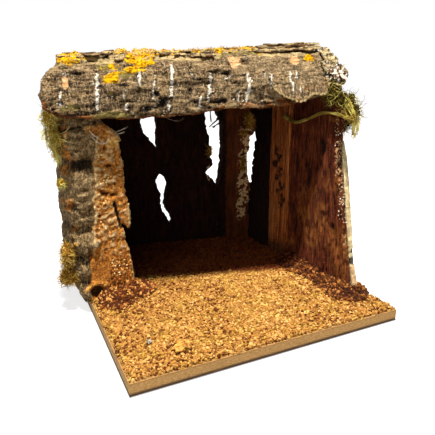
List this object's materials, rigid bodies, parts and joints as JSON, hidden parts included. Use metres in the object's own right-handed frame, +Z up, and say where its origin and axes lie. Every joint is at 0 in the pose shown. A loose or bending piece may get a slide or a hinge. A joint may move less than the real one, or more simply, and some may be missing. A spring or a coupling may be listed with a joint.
{
  "type": "nativity stable",
  "caption": "Rustic open-fronted nativity stable of bark slabs and moss on a board covered with cork granulate.",
  "frame": {"origin": "centre of the base board's underside, which is what the stable stands on", "axes": "+X to the right seen from the open front, +Y to the back, +Z up"},
  "size_m": [0.2389, 0.2432, 0.2016],
  "materials": {
    "board": "bare fibreboard with fine sawn edges",
    "granulate": "coarse golden brown cork granulate",
    "dark_grit": "dark brown coarse bark grit",
    "bark_chip": "rough broken bark chips and flakes",
    "grey_bark": "grey-brown ridged bark with fine cracks, pale streaks and yellow lichen",
    "inner_bark": "dark reddish brown fibrous inner bark",
    "pale_wood": "pale bare slat wood",
    "moss": "dry yellow-green moss strands",
    "glue": "set hot glue, slightly glossy"
  },
  "bodies": {
    "root": {"base_board": "board", "ground_grit": "granulate", "grit_heap_left": "dark_grit", "grit_heap_right": "dark_grit", "ground_chips": "bark_chip", "left_front_slab": "grey_bark", "left_rear_slab": "grey_bark", "right_front_slab": "inner_bark", "right_mid_slab": "inner_bark", "right_rear_slab": "inner_bark", "right_outer_slat": "pale_wood", "back_left_slab": "inner_bark", "back_mid_slab": "inner_bark", "back_right_slab": "inner_bark", "back_left_slat": "pale_wood", "roof_front_bark": "grey_bark", "roof_rear_bark": "grey_bark", "roof_top_flake": "bark_chip", "roof_end_flake": "bark_chip", "moss_roof_right": "moss", "moss_roof_top": "moss", "moss_left_upper": "moss", "moss_left_foot": "moss", "moss_back_mid": "moss", "moss_back_right": "moss", "glue_roof_left": "glue", "glue_roof_right": "glue", "glue_corner_left": "glue", "glue_corner_right": "glue", "glue_back_foot": "glue"}
  },
  "joints": []
}
